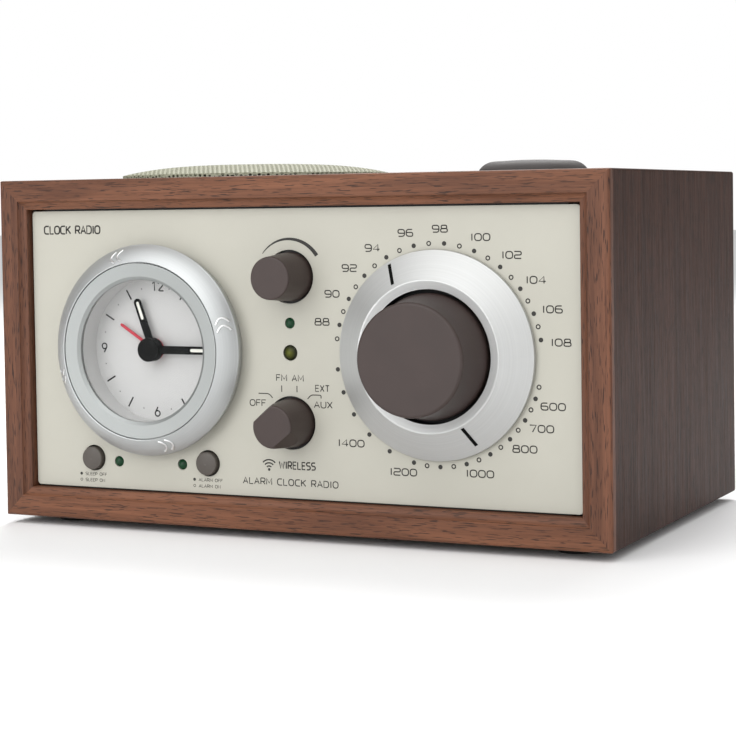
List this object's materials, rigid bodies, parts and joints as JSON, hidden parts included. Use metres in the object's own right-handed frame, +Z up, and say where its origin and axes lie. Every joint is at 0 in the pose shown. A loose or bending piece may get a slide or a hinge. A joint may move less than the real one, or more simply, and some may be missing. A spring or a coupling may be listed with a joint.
{
  "type": "tabletop radio",
  "caption": "Tabletop clock radio in a walnut cabinet, with a cream front panel, an analogue clock, a geared tuning dial, taupe knobs and a domed speaker grille on top.",
  "frame": {"origin": "on the standing surface, under the middle of the whole radio, knobs included", "axes": "+Z up, +Y to the back, +X to the right as seen from the front"},
  "size_m": [0.2126, 0.1502, 0.1192],
  "materials": {
    "walnut_solid": "oiled solid walnut moulding",
    "walnut_veneer": "walnut veneer on board, satin lacquer",
    "rubber_black": "matt",
    "panel_cream": "sprayed matt, screen printed",
    "black_abs": "fine texture",
    "zinc_steel": "zinc plated",
    "satin_aluminium": "bead blasted and anodised",
    "spun_aluminium": "turned and anodised",
    "dial_white": "printed",
    "clear_acrylic": "clear",
    "hand_black": "satin",
    "hand_red": "satin",
    "taupe_plastic": "moulded, satin",
    "acetal_white": "moulded",
    "brass_turned": "turned",
    "led_green": "translucent",
    "led_amber": "translucent",
    "board_green": "circuit board",
    "grille_paint": "perforated steel, sprayed",
    "basket_steel": "black",
    "magnet_ferrite": "sintered ferrite and steel",
    "paper_cone": "pressed paper",
    "foam_surround": "rubber roll",
    "spring_steel": "drawn wire",
    "silicon_steel": "varnished laminations",
    "ferrite_grey": "ferrite rod with copper coil",
    "rear_black": "moulded",
    "glue_block_pine": "sawn",
    "switch_white": "moulded"
  },
  "bodies": {
    "cabinet": {"bass_port": "rear_black", "cabinet_bottom": "walnut_veneer", "cabinet_left": "walnut_veneer", "cabinet_right": "walnut_veneer", "cabinet_top": "walnut_veneer", "capacitor_stator": "satin_aluminium", "clock_case": "black_abs", "clock_dial": "dial_white", "clock_lens": "clear_acrylic", "clock_movement": "black_abs", "control_boards": "board_green", "corner_blocks": "glue_block_pine", "ferrite_antenna": "ferrite_grey", "frame_bottom": "walnut_solid", "frame_left": "walnut_solid", "frame_right": "walnut_solid", "frame_top": "walnut_solid", "front_chassis": "black_abs", "front_panel": "panel_cream", "green_leds": "led_green", "lens_ring": "satin_aluminium", "main_board": "board_green", "panel_screws": "zinc_steel", "rear_panel": "rear_black", "rear_sockets": "rear_black", "reduction_housing": "black_abs", "rotary_controls": "zinc_steel", "rubber_feet": "rubber_black", "snooze_housing": "black_abs", "snooze_spring": "spring_steel", "speaker_basket": "basket_steel", "speaker_grille": "grille_paint", "speaker_magnet": "magnet_ferrite", "speaker_surround": "foam_surround", "transformer": "silicon_steel", "tuning_led": "led_amber"},
    "clock_bezel": {"clock_bezel": "spun_aluminium"},
    "setting_pinion": {"setting_pinion": "acetal_white"},
    "idler_gear": {"idler_gear": "acetal_white"},
    "alarm_hand": {"alarm_hand": "hand_red", "alarm_wheel": "acetal_white"},
    "hour_hand": {"hour_hand": "hand_black"},
    "minute_hand": {"minute_hand": "hand_black"},
    "volume_knob": {"volume_knob": "taupe_plastic", "volume_shaft": "brass_turned"},
    "mode_knob": {"mode_knob": "taupe_plastic", "mode_shaft": "brass_turned"},
    "tuning_knob": {"tuning_knob": "taupe_plastic", "tuning_shaft": "brass_turned"},
    "tuning_dial": {"dial_ring": "spun_aluminium", "planet_carrier": "acetal_white", "capacitor_rotor": "satin_aluminium"},
    "planet_gear_1": {"planet_gear_1": "acetal_white"},
    "planet_gear_2": {"planet_gear_2": "acetal_white"},
    "planet_gear_3": {"planet_gear_3": "acetal_white"},
    "sleep_button": {"sleep_button": "taupe_plastic"},
    "alarm_button": {"alarm_button": "taupe_plastic"},
    "snooze_button": {"snooze_button": "taupe_plastic"},
    "speaker_cone": {"speaker_cone": "paper_cone"},
    "antenna_switch": {"antenna_switch": "switch_white"}
  },
  "joints": [
    {"name": "bezel_turn", "type": "hinge", "parent": "cabinet", "child": "clock_bezel", "pos_m": [-0.05, -0.0583, 0.059], "axis": [0, 1, 0], "continuous": true},
    {"name": "setting_pinion_spin", "type": "hinge", "parent": "cabinet", "child": "setting_pinion", "pos_m": [-0.03416, -0.0583, 0.07484], "axis": [0, 1, 0], "continuous": true},
    {"name": "idler_gear_spin", "type": "hinge", "parent": "cabinet", "child": "idler_gear", "pos_m": [-0.03385, -0.0583, 0.06364], "axis": [0, 1, 0], "continuous": true},
    {"name": "alarm_hand_turn", "type": "hinge", "parent": "cabinet", "child": "alarm_hand", "pos_m": [-0.05, -0.0583, 0.059], "axis": [0, 1, 0], "continuous": true},
    {"name": "minute_hand_turn", "type": "hinge", "parent": "cabinet", "child": "minute_hand", "pos_m": [-0.05, -0.0583, 0.059], "axis": [0, 1, 0], "continuous": true},
    {"name": "hour_hand_turn", "type": "hinge", "parent": "cabinet", "child": "hour_hand", "pos_m": [-0.05, -0.0583, 0.059], "axis": [0, 1, 0], "continuous": true},
    {"name": "volume_turn", "type": "hinge", "parent": "cabinet", "child": "volume_knob", "pos_m": [0, -0.0583, 0.0826], "axis": [0, 1, 0], "range_deg": [0, 300]},
    {"name": "mode_turn", "type": "hinge", "parent": "cabinet", "child": "mode_knob", "pos_m": [0, -0.0583, 0.0368], "axis": [0, 1, 0], "range_deg": [0, 78.5]},
    {"name": "tuning_knob_turn", "type": "hinge", "parent": "cabinet", "child": "tuning_knob", "pos_m": [0.05, -0.0583, 0.059], "axis": [0, 1, 0], "range_deg": [-280, 560]},
    {"name": "tuning_dial_turn", "type": "hinge", "parent": "cabinet", "child": "tuning_dial", "pos_m": [0.05, -0.0583, 0.059], "axis": [0, 1, 0], "range_deg": [-56, 112]},
    {"name": "planet_gear_1_spin", "type": "hinge", "parent": "tuning_dial", "child": "planet_gear_1", "pos_m": [0.059, -0.0583, 0.059], "axis": [0, 1, 0], "range_deg": [-300, 150]},
    {"name": "planet_gear_2_spin", "type": "hinge", "parent": "tuning_dial", "child": "planet_gear_2", "pos_m": [0.0455, -0.0583, 0.06679], "axis": [0, 1, 0], "range_deg": [-300, 150]},
    {"name": "planet_gear_3_spin", "type": "hinge", "parent": "tuning_dial", "child": "planet_gear_3", "pos_m": [0.0455, -0.0583, 0.05121], "axis": [0, 1, 0], "range_deg": [-300, 150]},
    {"name": "sleep_button_press", "type": "slide", "parent": "cabinet", "child": "sleep_button", "axis": [0, 1, 0], "range_m": [0, 0.0009], "stiffness_N_per_m": 300, "springref_m": -0.003},
    {"name": "alarm_button_press", "type": "slide", "parent": "cabinet", "child": "alarm_button", "axis": [0, 1, 0], "range_m": [0, 0.0009], "stiffness_N_per_m": 300, "springref_m": -0.003},
    {"name": "snooze_press", "type": "slide", "parent": "cabinet", "child": "snooze_button", "axis": [0, 0, -1], "range_m": [0, 0.0015], "stiffness_N_per_m": 400, "springref_m": -0.003, "deforming": ["snooze_spring"]},
    {"name": "cone_travel", "type": "slide", "parent": "cabinet", "child": "speaker_cone", "axis": [0, 0, 1], "range_m": [-0.0015, 0.0015], "stiffness_N_per_m": 1200, "deforming": ["speaker_surround"]},
    {"name": "antenna_switch_slide", "type": "slide", "parent": "cabinet", "child": "antenna_switch", "axis": [1, 0, 0], "range_m": [0, 0.004]}
  ],
  "couplings": [
    {"joint": "setting_pinion_spin", "follows": "bezel_turn", "ratio": 5},
    {"joint": "idler_gear_spin", "follows": "bezel_turn", "ratio": -5},
    {"joint": "alarm_hand_turn", "follows": "bezel_turn", "ratio": 2.5},
    {"joint": "hour_hand_turn", "follows": "minute_hand_turn", "ratio": 0.083333},
    {"joint": "tuning_dial_turn", "follows": "tuning_knob_turn", "ratio": 0.2},
    {"joint": "planet_gear_1_spin", "follows": "tuning_knob_turn", "ratio": -0.53333},
    {"joint": "planet_gear_2_spin", "follows": "tuning_knob_turn", "ratio": -0.53333},
    {"joint": "planet_gear_3_spin", "follows": "tuning_knob_turn", "ratio": -0.53333}
  ]
}
